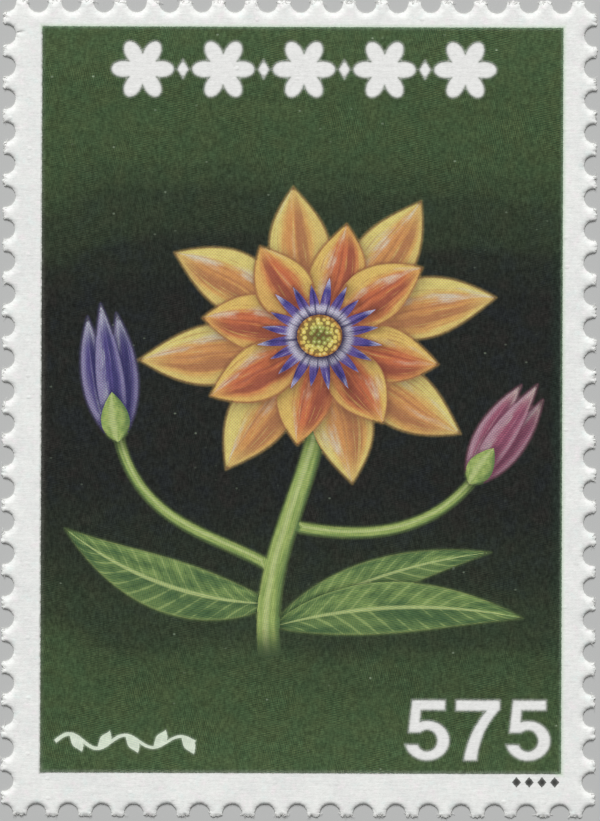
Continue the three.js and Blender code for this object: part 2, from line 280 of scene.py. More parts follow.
def bare_outlines():
    """The places of the panel that stay bare paper."""
    outlines = []
    count, lobes, radius, waist = (ROSETTE[key] for key in ("count", "lobes", "radius", "waist"))
    steps = round(2 * math.pi * radius / PRINT_STEP)
    angles = np.arange(steps) * 2 * math.pi / steps
    reach = radius * (waist + (1 - waist) * np.abs(np.cos(lobes * angles / 2)))
    for index in range(count):
        x = ROSETTE["x"] + (index - (count - 1) / 2) * ROSETTE["pitch"]
        outlines.append(np.stack((x + reach * np.cos(angles), ROSETTE["y"] + reach * np.sin(angles)), axis=1))
        if index < count - 1:
            spacer = lozenge(x + ROSETTE["pitch"] / 2, ROSETTE["y"], **SPACER)
            outlines.append(spacer)
    text = FIGURES["text"]
    for index, digit in enumerate(text):
        from_right = len(text) - index
        left = FIGURES["right"] - from_right * FIGURES["width"] - (from_right - 1) * FIGURES["gap"]
        outlines.append(figure_outline(digit, left))
    return [screen_edged(outline, index) for index, outline in enumerate(outlines)]


class Ribbon:
    """A petal, leaf or stem: a spine, and a half width that changes along it from 0 to 1."""

    def __init__(self, spine, half_width):
        self.spine = spine
        self.half_width = half_width
        shares = np.linspace(0, 1, LENGTH_POINTS)
        self.length = np.linalg.norm(np.diff(spine(shares), axis=0), axis=1).sum()

    def heading(self, shares):
        ahead = self.spine(shares + HEADING_STEP) - self.spine(shares - HEADING_STEP)
        return ahead / np.linalg.norm(ahead, axis=1, keepdims=True)

    def outline(self):
        shares = np.linspace(0, 1, round(self.length / PRINT_STEP))
        middle = self.spine(shares)
        heading = self.heading(shares)
        left = np.stack((-heading[:, 1], heading[:, 0]), axis=1)
        half = self.half_width(shares)
        aside = left * half[:, None]
        pointed = half < POINTED
        right_side = (middle - aside)[~pointed]
        left_side = (middle + aside)[~pointed][::-1]
        parts = [middle[:1]] if pointed[0] else []
        parts.append(right_side)
        if pointed[-1]:
            parts.append(middle[-1:])
        parts.append(left_side)
        return np.concatenate(parts)

    def place(self, points):
        """Where points lie: -1 to 1 across the ribbon, towards the painted light, and 0 to 1 along it.
        Points beside the ribbon get more than 1 or less than -1."""
        shares = np.linspace(0, 1, PLACE_POINTS)
        spine = self.spine(shares)
        heading = self.heading(shares)
        gap = points[:, None, :] - spine[None, :, :]
        nearest = np.argmin((gap**2).sum(axis=2), axis=1)
        from_spine = points - spine[nearest]
        forward = (from_spine * heading[nearest]).sum(axis=1)
        along = np.clip(shares[nearest] + forward / self.length, 0, 1)
        aside = heading[nearest, 0] * from_spine[:, 1] - heading[nearest, 1] * from_spine[:, 0]
        across = aside / np.maximum(self.half_width(along), LEAST_HALF_WIDTH)
        ahead = spine[-1] - spine[0]
        left_falls_with_light = PAINTED_LIGHT[1] * ahead[0] - PAINTED_LIGHT[0] * ahead[1] > 0
        return -across if left_falls_with_light else across, along


def blade(base, tip, half_width, bend=0.0, lead=1.0, blunt=1.0):
    """A petal or leaf, pointed at both ends, on a spine that bends to one side."""
    base, tip = np.array(base, float), np.array(tip, float)
    along = tip - base
    control = (base + tip) / 2 + bend * np.array((-along[1], along[0]))

    def spine(shares):
        t = shares[:, None]
        return (1 - t) ** 2 * base + 2 * t * (1 - t) * control + t * t * tip

    def half(shares):
        return half_width * np.sin(math.pi * np.clip(shares, 0, 1) ** lead).clip(0) ** blunt

    return Ribbon(spine, half)


def stem(path, thick):
    """A stroke of tapering thickness along a cubic curve."""
    corners = np.array(path, float)

    def spine(shares):
        t = shares[:, None]
        weights = [(1 - t) ** 3, 3 * t * (1 - t) ** 2, 3 * t * t * (1 - t), t**3]
        return sum(weight * corner for weight, corner in zip(weights, corners))

    return Ribbon(spine, lambda shares: lerp(thick[0], thick[1], shares) / 2)


class Disc:
    """A round shape whose reach is a function of the angle, squashed in y."""

    def __init__(self, reach, steps):
        self.reach = reach
        self.steps = steps

    def outline(self):
        angles = np.arange(self.steps) * 2 * math.pi / self.steps
        reach = self.reach(angles)
        x = BLOSSOM["x"] + reach * np.cos(angles)
        y = BLOSSOM["y"] + BLOSSOM["squash"] * reach * np.sin(angles)
        return np.stack((x, y), axis=1)

    def place(self, points):
        """0 across, and along from 0 in the middle to 1 at the edge."""
        x = points[:, 0] - BLOSSOM["x"]
        y = (points[:, 1] - BLOSSOM["y"]) / BLOSSOM["squash"]
        edge = self.reach(np.arctan2(y, x) % (2 * math.pi))
        return np.zeros(len(points)), np.clip(np.hypot(x, y) / edge, 0, 1)


class Film:
    """One printed area of a colour: the frame's node that it stands for, its finish and its shapes."""

    def __init__(self, node, slot, shapes, number=0, look=None):
        self.node = node
        self.slot = slot
        self.shapes = shapes
        self.number = number
        self.look = look or slot
        self.outlines = [screen_edged(shape.outline(), number) for shape in shapes]

    def place(self, points):
        """Each point's place in the first shape that it lies in."""
        found = [shape.place(points) for shape in self.shapes]
        outside = np.stack([np.abs(across) > EDGE_SLACK for across, _ in found])
        best = np.argmin(outside, axis=0)
        rows = np.arange(len(points))
        across = np.stack([across for across, _ in found])[best, rows]
        along = np.stack([along for _, along in found])[best, rows]
        return np.clip(across, -1, 1), along


def uneven(kind, index):
    size, rate = UNEVEN[kind]
    return size * math.sin(rate * index + 1)


def blossom_point(angle, radius):
    return (
        BLOSSOM["x"] + radius * math.cos(angle),
        BLOSSOM["y"] + BLOSSOM["squash"] * radius * math.sin(angle),
    )


def petal_ring(name, slot, ring):
    """One ring of petals. Every second petal lies on top of its neighbours."""
    petals = []
    for index in range(ring["count"]):
        angle = ring["turn"] + 2 * math.pi * index / ring["count"] + uneven("angle", index)
        petal = blade(
            blossom_point(angle, ring["start"]),
            blossom_point(angle, ring["length"] * (1 + uneven("length", index))),
            ring["half_width"],
            uneven("bend", index),
            ring["lead"],
            ring["blunt"],
        )
        petals.append(Film(f"{name}_{index + 1}", slot, [petal], index))
    return petals[::2] + petals[1::2]


def bud(name, slot, base, tip, half_width):
    """A front petal, two side petals behind it, and a green cup at its foot."""
    base, tip = np.array(base), np.array(tip)
    line = tip - base
    side = np.array((-line[1], line[0])) / np.linalg.norm(line) * half_width * BUD_SIDE["spread"]
    side_foot = tip - BUD_SIDE["drop"] * line
    side_width = half_width * BUD_SIDE["width"]
    shapes = {
        "cup": blade(base, base + line * BUD_CUP["length"], half_width * BUD_CUP["width"], **BUD_BLADE),
        "front_petal": blade(base, tip, half_width * BUD_FRONT_WIDTH, **BUD_BLADE),
        "left_petal": blade(base, side_foot + side, side_width, BUD_SIDE["bend"], **BUD_BLADE),
        "right_petal": blade(base, side_foot - side, side_width, -BUD_SIDE["bend"], **BUD_BLADE),
    }
    return [
        Film(f"{name}_{part}_ink", "stem_ink" if part == "cup" else slot, [shape], number, f"{part}_{slot}")
        for number, (part, shape) in enumerate(shapes.items())
    ]


def flourish():
    """A wavy line with a small leaf at each turn."""
    left, right, y, swing, fade, waves = FLOURISH.values()

    def wave(shares):
        height = y + swing * (1 - fade * shares) * np.sin(2 * math.pi * waves * shares)
        return np.stack((lerp(left, right, shares), height), axis=1)

    shapes = [Ribbon(wave, lambda shares: lerp(*FLOURISH_THICK, shares) / 2)]
    for index in range(FLOURISH_LEAF["count"]):
        down = -1 if index % 2 == 0 else 1
        base = wave(np.array([(index + 0.5) / FLOURISH_LEAF["count"]]))[0]
        angle = FLOURISH_LEAF["angle"] * down
        tip = base + FLOURISH_LEAF["length"] * np.array((math.cos(angle), math.sin(angle)))
        shapes.append(blade(base, tip, FLOURISH_LEAF["half_width"], -FLOURISH_LEAF["bend"] * down))
    return shapes


def ray_reach(angles):
    """The ring of rays: a point for each ray, and a notch between each two."""
    steps = 2 * RAYS["count"]
    corners = [
        RAYS["inner"] if step % 2 == 0 else RAYS["outer"] * (1 + uneven("ray", step)) for step in range(steps)
    ]
    place = angles / (2 * math.pi) * steps
    return np.interp(place, np.arange(steps + 1), corners + corners[:1])


def printed_films():
    """Every printed film, the one on top first. Each is cut back by the films printed over it."""
    return [
        Film("middle_ink", "middle_ink", [Disc(lambda angles: MIDDLE_RADIUS + 0 * angles, MIDDLE_POINTS)]),
        Film("ray_ring_ink", "violet_ink", [Disc(ray_reach, RAY_POINTS * RAYS["count"])], look="ray_ring"),
        *petal_ring("inner_petal_ink", "deep_orange_ink", INNER_PETALS),
        *petal_ring("outer_petal_ink", "orange_ink", OUTER_PETALS),
        *(film for one in BUDS for film in bud(**one)),
        Film("stem_ink", "stem_ink", [stem(**one) for one in STEMS]),
        *(
            Film(f"leaf_ink_{index + 1}", "leaf_ink", [blade(**leaf, blunt=LEAF_BLUNT)], index)
            for index, leaf in enumerate(LEAVES)
        ),
        Film("flourish_ink", "pale_ink", flourish()),
    ]


# Meshes


def inside(points, outline):
    """Which points lie inside a closed outline."""
    hit = np.zeros(len(points), bool)
    low, high = outline.min(axis=0), outline.max(axis=0)
    near = np.flatnonzero(((points >= low) & (points <= high)).all(axis=1))
    x, y = points[near].T
    crossed = np.zeros(len(near), int)
    for (x0, y0), (x1, y1) in zip(outline, np.roll(outline, -1, axis=0)):
        if y0 == y1:
            continue
        spans = (y0 > y) != (y1 > y)
        crossed += spans & (x < x0 + (y - y0) * (x1 - x0) / (y1 - y0))
    hit[near] = crossed % 2 == 1
    return hit


def counterclockwise(outline):
    x, y = outline.T
    area = (x * np.roll(y, -1) - y * np.roll(x, -1)).sum()
    return outline if area > 0 else outline[::-1]


def inside_any(points, outlines):
    hit = np.zeros(len(points), bool)
    for outline in outlines:
        hit |= inside(points, outline)
    return hit


def tree_of(points):
    tree = KDTree(len(points))
    for index, (x, y) in enumerate(points):
        tree.insert((x, y, 0), index)
    tree.balance()
    return tree


def nearest_of(tree, points):
    """The tree's nearest point to each point, how far away it is, and its index."""
    spots, indices, gaps = zip(*(tree.find((x, y, 0)) for x, y in points))
    return np.array(spots)[:, :2], np.array(gaps), np.array(indices)


def gaps_to(tree, points):
    return nearest_of(tree, points)[1]


def ring_beside(outline, reach):
    """Points reach outside a closed outline, or inside it where reach is below 0."""
    outline = counterclockwise(outline)
    ahead = np.roll(outline, -2, axis=0) - np.roll(outline, 2, axis=0)
    outward = np.column_stack((ahead[:, 1], -ahead[:, 0])) / np.linalg.norm(ahead, axis=1)[:, None]
    ring = outline + outward * reach
    return ring[gaps_to(tree_of(outline), ring) > abs(reach) * RING_CLEAR]


def split_areas(outlines, extra):
    """Triangles of a flat map of closed outlines, and the outlines that each triangle lies in."""
    points = []
    faces = []
    for outline in outlines:
        faces.append(list(range(len(points), len(points) + len(outline))))
        points += [Vector(point) for point in counterclockwise(outline)]
    points += [Vector(point) for point in extra]
    made = delaunay_2d_cdt(points, [], faces, TRIANGLES_INSIDE, SAME_POINT)
    spots, _, triangles, _, _, inside_of = made
    return np.array([tuple(spot) for spot in spots]), triangles, inside_of


def open_edges(triangles):
    """The edges that only one triangle has."""
    edges = {(a, b) for triangle in triangles for a, b in zip(triangle, triangle[1:] + triangle[:1])}
    return [(a, b) for a, b in sorted(edges) if (b, a) not in edges]


def add(name, data):
    """An object of the scene that shows a mesh, or is a light or a camera."""
    thing = bpy.data.objects.new(name, data)
    bpy.context.scene.collection.objects.link(thing)
    return thing


def add_mesh(name, corners, faces):
    """A piece from corners in millimetres."""
    mesh = bpy.data.meshes.new(name)
    mesh.from_pydata((np.array(corners) * MM).tolist(), [], faces)
    mesh.update()
    return add(name, mesh)


def slab(name, points, triangles, top, bottom):
    """A closed flat piece: triangles on top at height top, the same underneath, and walls between.
    Also gives the places of its points on the sheet."""
    used = sorted({corner for triangle in triangles for corner in triangle})
    renumbered = {corner: index for index, corner in enumerate(used)}
    flat = points[used]
    faces = [[renumbered[corner] for corner in triangle] for triangle in triangles]
    count = len(flat)
    walls = [[b, a, a + count, b + count] for a, b in open_edges(faces)]
    below = [[corner + count for corner in reversed(face)] for face in faces]
    heights = top(flat) if callable(top) else np.full(count, top)
    upper = np.column_stack((flat, heights))
    lower = np.column_stack((flat, np.full(count, bottom)))
    return add_mesh(name, np.concatenate((upper, lower)), faces + below + walls), flat


def store(piece, name, values):
    """Keeps a number or a vector for each point of a slab. Those underneath have what is above them."""
    both = np.concatenate((values, values)).astype(np.float32)
    kind, field = ("FLOAT_VECTOR", "vector") if values.ndim == 2 else ("FLOAT", "value")
    piece.data.attributes.new(name, kind, "POINT").data.foreach_set(field, both.ravel())


def bake_map(piece, shown_underneath=False):
    """A map for textures: the shown face fills most of it, and all that is hidden lies in a strip."""
    strip = 0.04
    mesh = piece.data
    corners = np.array([vertex.co for vertex in mesh.vertices])
    low, high = corners.min(axis=0), corners.max(axis=0)
    size = max(high[0] - low[0], high[1] - low[1])
    layer = mesh.uv_layers.new(name="OFBake")
    for face in mesh.polygons:
        shown = face.normal.z < -0.5 if shown_underneath else face.normal.z > 0.3
        for corner in face.loop_indices:
            x, y, z = (corners[mesh.loops[corner].vertex_index] - low) / size
            if shown:
                layer.data[corner].uv = (strip + x * (1 - strip), y)
            else:
                layer.data[corner].uv = (strip * (0.1 + 0.7 * (x + z)), y)


# Finishes


class Value:
    """A number on its way through a finish's nodes."""

    def __init__(self, finish, socket):
        self.finish = finish
        self.socket = socket

    def __add__(self, other):
        return self.finish.math("ADD", self, other)

    def __radd__(self, other):
        return self.finish.math("ADD", other, self)

    def __sub__(self, other):
        return self.finish.math("SUBTRACT", self, other)

    def __rsub__(self, other):
        return self.finish.math("SUBTRACT", other, self)

    def __mul__(self, other):
        return self.finish.math("MULTIPLY", self, other)

    def __rmul__(self, other):
        return self.finish.math("MULTIPLY", other, self)

    def __truediv__(self, other):
        return self.finish.math("DIVIDE", self, other)

    def __pow__(self, other):
        return self.finish.math("POWER", self, other)

    def __abs__(self):
        return self.finish.math("ABSOLUTE", self)


def linear(colour):
    """A colour given as 0 to 255 on a screen, as the linear light that a shader takes."""
    shares = [part / 255 for part in colour]
    return tuple(s / 12.92 if s <= 0.04045 else ((s + 0.055) / 1.055) ** 2.4 for s in shares) + (1.0,)


class Finish:
    """A material and its nodes. Places on the sheet are in millimetres."""

    def __init__(self, name, roughness, shine):
        self.material = bpy.data.materials.new(name)
        self.material.use_nodes = True
        self.tree = self.material.node_tree
        self.shader = self.tree.nodes["Principled BSDF"]
        self.shader.inputs["Roughness"].default_value = roughness
        self.shader.inputs["Specular IOR Level"].default_value = shine
        spot = self.node("ShaderNodeTexCoord", {}, {}, "Object")
        self.spot = self.scaled(spot, 1 / MM)
        split = self.node("ShaderNodeSeparateXYZ", {}, {"Vector": self.spot})
        self.x = Value(self, split.outputs["X"])
        self.y = Value(self, split.outputs["Y"])

    def node(self, kind, settings, sockets, output=None):
        """A node of any kind: its settings first, then the values or links of its sockets."""
        node = self.tree.nodes.new(kind)
        for key, setting in settings.items():
            if key == "stops":
                while len(node.color_ramp.elements) < len(setting):
                    node.color_ramp.elements.new(0.5)
                for element, (position, colour) in zip(node.color_ramp.elements, setting):
                    element.position = position
                    element.color = colour
            elif key == "blend":
                node.color_ramp.interpolation = setting
            else:
                setattr(node, key, setting)
        for key, given in sockets.items():
            if isinstance(given, Value):
                self.tree.links.new(given.socket, node.inputs[key])
            else:
                node.inputs[key].default_value = given
        return node if output is None else Value(self, node.outputs[output])

    def math(self, operation, *given):
        return self.node("ShaderNodeMath", {"operation": operation}, dict(enumerate(given)), 0)

    def vector_math(self, operation, *given):
        return self.node("ShaderNodeVectorMath", {"operation": operation}, dict(enumerate(given)), 0)

    def scaled(self, vector, share):
        sockets = {"Vector": vector, "Scale": share}
        return self.node("ShaderNodeVectorMath", {"operation": "SCALE"}, sockets, 0)

    def combined(self, x, y, z):
        return self.node("ShaderNodeCombineXYZ", {}, {"X": x, "Y": y, "Z": z}, 0)

    def smooth(self, value, low, high, to_low=0.0, to_high=1.0):
        """A soft step from to_low to to_high while value goes from low to high."""
        sockets = {"Value": value, "From Min": low, "From Max": high, "To Min": to_low, "To Max": to_high}
        return self.node("ShaderNodeMapRange", {"interpolation_type": "SMOOTHSTEP"}, sockets, "Result")

    def stretched(self, across, up, turn=0.0):
        """The place on the sheet, stretched by different factors across and up, and turned."""
        sockets = {"Vector": self.spot, "Scale": (across, up, 1.0), "Rotation": (0.0, 0.0, turn)}
        return self.node("ShaderNodeMapping", {}, sockets, 0)

    def noise(self, scale, detail=2.0, rough=0.5, at=None):
        """Noise of scale cells a millimetre on the sheet, or of the place given."""
        sockets = {"Vector": at or self.spot, "Scale": scale, "Detail": detail, "Roughness": rough}
        return self.node("ShaderNodeTexNoise", {}, sockets, "Fac")

    def woven(self, across, up, detail=2.0, rough=0.5, turn=0.0):
        """Noise with its own number of cells a millimetre across the sheet and up it."""
        return self.noise(1.0, detail, rough, self.stretched(across, up, turn))

    def brushed(self, x, y, z, detail=2.0, rough=0.5):
        """Noise at a place made of three values, such as those across and along a petal."""
        return self.noise(1.0, detail, rough, self.combined(x, y, z))

    def ramp(self, value, stops):
        return self.node("ShaderNodeValToRGB", {"stops": stops, "blend": "EASE"}, {"Fac": value}, "Color")

    def graded(self, value, tones, stops):
        """A colour that goes from one named tone to the next with value."""
        return self.ramp(value, [(position, linear(tones[name])) for position, name in stops])

    def mix(self, first, second, share):
        """A colour that goes from first to second."""
        # A mix node has sockets of the same name for each kind of data, so those of colours go by number.
        node = self.node("ShaderNodeMix", {"data_type": "RGBA"}, {})
        for index, given in ((0, share), (6, first), (7, second)):
            if isinstance(given, Value):
                self.tree.links.new(given.socket, node.inputs[index])
            else:
                node.inputs[index].default_value = given
        return Value(self, node.outputs[2])

    def between(self, first, second, share):
        """A colour between two tones given as 0 to 255."""
        return self.mix(linear(first), linear(second), share)

    def tinted(self, colour, tone, share):
        """A colour that goes towards a tone given as 0 to 255."""
        return self.mix(colour, linear(tone), share)

    def layered(self, colour, tones, layers):
        """A colour with named tones painted over it, each by its share."""
        for name, share in layers:
            colour = self.tinted(colour, tones[name], share)
        return colour

    def attribute(self, name, output):
        return self.node("ShaderNodeAttribute", {"attribute_name": name}, {}, output)

    def place(self):
        """Where a point lies across and along its shape, and the shape's number."""
        split = self.node("ShaderNodeSeparateXYZ", {}, {"Vector": self.attribute("place", "Vector")})
        return (Value(self, split.outputs[axis]) for axis in "XYZ")

    def paint(self, colour):
        self.tree.links.new(colour.socket, self.shader.inputs["Base Color"])

    def roughen(self, roughness):
        self.tree.links.new(roughness.socket, self.shader.inputs["Roughness"])

    def bump(self, height, strength=1.0):
        """Relief from a height in millimetres."""
        sockets = {"Height": height, "Distance": MM, "Strength": strength}
        normal = self.node("ShaderNodeBump", {}, sockets, "Normal")
        self.tree.links.new(normal.socket, self.shader.inputs["Normal"])


# Colours, 0 to 255.
WHITE = (233, 234, 231)
WHITE_GREY = (226, 227, 225)
WHITE_ROSE = (237, 229, 231)
WHITE_COLD = (224, 233, 230)
# Painted shade: the paper's tone in the hollows between its fibres.
WHITE_SHADED_BETWEEN_FIBRES = (205, 205, 203)
WHITE_UNDER_PRINT = (230, 230, 228)
GUM_PALE = (236, 233, 219)
GUM_YELLOW = (222, 217, 196)
GREEN_HALO = (210, 224, 206)
GREEN_HALO_INSIDE = (96, 128, 96)
INK_SPREAD = (160, 164, 156)
GROUND_WARM = (68, 83, 54)
GROUND_COLD = (63, 83, 55)
GROUND_DARK = (35, 38, 35)
GROUND_ROSE = (45, 38, 37)
GROUND_BLUE = (35, 39, 44)
GROUND_BROWN = (44, 43, 40)
GROUND_GREEN_EDGE = (37, 46, 40)
GROUND_SPECK = (156, 170, 148)
EDGE_DARK = (46, 42, 36)

# What a printed shape adds to the ground beside it, and to the paper in a bare place.
NEIGHBOUR_TONES = {
    "orange_ink": (196, 166, 102), "deep_orange_ink": (196, 158, 92), "violet_ink": (96, 90, 134),
    "pink_ink": (148, 96, 114), "stem_ink": (122, 146, 84), "leaf_ink": (98, 122, 72),
    "middle_ink": (200, 148, 78), "pale_ink": (200, 214, 192), "bare": (222, 224, 220),
}
GREEN_AT_EDGE = (66, 84, 56)
FIBRE_PALE = (240, 240, 238)
FIBRE_DARK = (214, 213, 208)
PALE_GREEN = (196, 212, 186)
PALE_WHITE = (222, 228, 216)
BLACK_FULL = (48, 49, 47)
BLACK_WORN = (78, 79, 76)
FLOOR_GREY = (184, 185, 184)
STEM_FOOT = (62, 78, 54)
STEM_FADE = (-9.3, -10.85)  # the main stem goes over into the ground between these heights

# The dot screens of the four inks: lines a millimetre and angle in degrees.
SCREEN_LINES = 10.14
SCREEN_ANGLES = {"cyan": 75.5, "magenta": 45.0, "yellow": 0.0, "black": 15.0}
SCREEN_SLIP = {"scale": 0.5, "lines": 1.3}  # how the paper's stretch on the press puts the dots out of line

# How much of each ink's dots shows in red, green and blue light.
INK_HOLDS_BACK = {
    "cyan": (1.0, 0.45, 0.3), "magenta": (0.35, 1.0, 0.45),
    "yellow": (0.0, 0.1, 1.0), "black": (1.0, 1.0, 1.0),
}

INK_ROUGHNESS = 0.7
INK_SHINE = 0.08


def dots(finish, ink_name):
    """A dot screen, from -1 to 1. Its rows stand out in most places, and its columns in a few."""
    angle = math.radians(SCREEN_ANGLES[ink_name])
    wave = 2 * math.pi * SCREEN_LINES
    slip = finish.noise(SCREEN_SLIP["scale"], 2.0) * (SCREEN_SLIP["lines"] * 2 * math.pi)
    u = finish.x * (math.cos(angle) * wave) + finish.y * (math.sin(angle) * wave) + slip
    v = finish.y * (math.cos(angle) * wave) - finish.x * (math.sin(angle) * wave) + slip
    rows = finish.smooth(finish.noise(0.3, 1.0), 0.4, 0.55, 0.3, 0.95)
    share = rows * (math.sin(angle) ** 2 - math.cos(angle) ** 2) + math.cos(angle) ** 2
    return finish.math("COSINE", u) * share + finish.math("COSINE", v) * (1.0 - share)


def screened(finish, colour, strengths):
    """A colour broken up by the dot screens, as light and dark round its own mean."""
    for ink_name, strength in strengths.items():
        spots = dots(finish, ink_name)
        shares = (1.0 - spots * (strength * share) for share in INK_HOLDS_BACK[ink_name])
        colour = finish.vector_math("MULTIPLY", colour, finish.combined(*shares))
    return colour


def scattered(finish, across, up, size, rarity):
    """Soft spots in so many cells a millimetre: 1 in the middle of the strongest, and few at rarity 1."""
    sockets = {"Vector": finish.stretched(across, up), "Scale": 1.0}
    cell = finish.node("ShaderNodeTexVoronoi", {"voronoi_dimensions": "2D"}, sockets)
    gap = Value(finish, cell.outputs["Distance"])
    own = {"Color": Value(finish, cell.outputs["Color"])}
    chance = finish.node("ShaderNodeSeparateColor", {}, own, "Red")
    return finish.smooth(gap, size, size * 0.2) * finish.smooth(chance, rarity, 1.0)


def panel_edges(finish):
    """How far outside the printed panel a point is, and whether it is near the left, foot, or other edges."""
    left = (PANEL["x"] - PANEL["width"] / 2) - finish.x
    foot = (PANEL["y"] - PANEL["height"] / 2) - finish.y
    right = finish.x - (PANEL["x"] + PANEL["width"] / 2)
    top = finish.y - (PANEL["y"] + PANEL["height"] / 2)
    top_right = finish.math("MAXIMUM", right, top)
    beyond = finish.math("MAXIMUM", top_right, finish.math("MAXIMUM", left, foot))
    return beyond, *(finish.smooth(side, -0.4, -0.1) for side in (left, foot, top_right))


def paper_relief(finish, depth):
    """The height of felted fibres, most of them lying across the sheet, in millimetres."""
    upright = finish.woven(7.0, 1.6, 3.0, 0.6, turn=0.5)
    lying = finish.woven(1.3, 8.0, 3.0, 0.6, turn=-0.08)
    grain = finish.noise(16.0, 2.0)
    return (upright * 0.85 + lying * 1.1 + grain * 0.75) * depth


def paper_finish():
    finish = Finish("stamp_paper", 0.85, 0.2)
    cloudy = finish.noise(0.7, 4.0, 0.6)
    tint = finish.noise(2.4, 3.0, 0.7)
    fleck = finish.noise(6.0, 3.0, 0.7)
    colour = finish.between(WHITE, WHITE_GREY, finish.smooth(cloudy, 0.35, 0.7))
    colour = finish.tinted(colour, WHITE_ROSE, finish.smooth(tint, 0.54, 0.7, 0.0, 0.6))
    colour = finish.tinted(colour, WHITE_COLD, finish.smooth(tint, 0.46, 0.3, 0.0, 0.6))
    beyond, near_left, _, near_top_right = panel_edges(finish)
    colour = finish.tinted(colour, GREEN_HALO, finish.smooth(beyond, 0.0, 0.2, 0.85, 0.0) * near_top_right)
    ragged = finish.smooth(finish.noise(7.0, 2.0), 0.38, 0.62, 0.5, 1.3)
    spread = finish.smooth(beyond, 0.0, 0.11, 1.0, 0.0) * (near_left * 0.55 + 0.25)
    colour = finish.tinted(colour, INK_SPREAD, spread * ragged)
    colour = finish.tinted(colour, WHITE_UNDER_PRINT, finish.smooth(beyond, -0.1, 0.0, 0.9, 0.0))
    relief = paper_relief(finish, 1.0)
    # Painted shade: the paper is darker where its fibre relief is low, in the hollows between fibres.
    colour = finish.tinted(colour, WHITE_SHADED_BETWEEN_FIBRES, finish.smooth(relief, 1.25, 0.95, 0.0, 0.38))
    colour = soft_edged(finish, colour, GREEN_AT_EDGE, 0.57)
    finish.paint(finish.scaled(colour, finish.smooth(fleck, 0.25, 0.75, 0.945, 1.055)))
    finish.bump(relief * 0.008 + scattered(finish, 1.1, 1.5, 0.16, 0.7) * 0.011)
    return finish


def gum_finish():
    finish = Finish("dried_gum", 0.35, 0.5)
    cloudy = finish.noise(0.35, 4.0, 0.6)
    ripple = finish.noise(2.2, 3.0)
    colour = finish.between(GUM_PALE, GUM_YELLOW, finish.smooth(cloudy, 0.3, 0.7))
    finish.paint(colour)
    finish.roughen(finish.smooth(cloudy + ripple * 0.4, 0.4, 0.9, 0.28, 0.5))
    finish.bump(ripple * 0.004)
    return finish


def fibre_finish():
    finish = Finish("torn_fibre", 0.8, 0.2)
    tone = finish.noise(3.0)
    finish.paint(finish.between(FIBRE_PALE, FIBRE_DARK, tone))
    return finish


def ink(name):
    return Finish(name, INK_ROUGHNESS, INK_SHINE)


def at_edge(finish, most, kind="edge"):
    """A share that is most at the edge of a printed shape, and fades away from it."""
    gap = finish.math("MINIMUM", finish.attribute(kind, "Fac"), EDGE_REACH)
    return (1.0 - gap / EDGE_REACH) ** 2.0 * most


def soft_edged(finish, colour, tone=EDGE_DARK, most=0.66):
    """Lets the colour run into the next one, where the screens of the inks aren't quite in line."""
    return finish.tinted(colour, tone, at_edge(finish, most))


def print_out(finish, colour, grain=0.1, **strengths):
    """Breaks the colour into dots, and lets the paper's grain and relief through the ink."""
    mottle = finish.noise(5.5, 3.0, 0.7)
    mottled = finish.scaled(colour, finish.smooth(mottle, 0.25, 0.75, 1.0 - grain, 1.0 + grain))
    finish.paint(screened(finish, mottled, strengths))
    finish.bump(paper_relief(finish, 0.003))
    return finish


# How far the ground's fade wanders up and down, in broad drifts and in streaks across the sheet.
FADE_DRIFT = 3.2
FADE_STREAK = 1.1
FADE_SLANT = 0.03
FADE_WANDER_MEAN = 2.15
FADE_ENDS = (-17.0, 17.0)

# The ground's share of green at heights on the sheet, black being 0.
GROUND_FADE = [
    (-13.2, 1.0), (-11.6, 0.85), (-9.9, 0.42), (-6.6, 0.14), (-3.5, 0.0),
    (4.8, 0.0), (6.8, 0.09), (7.7, 0.32), (9.1, 0.37), (10.1, 0.64), (11.2, 0.88), (13.0, 1.0),
]


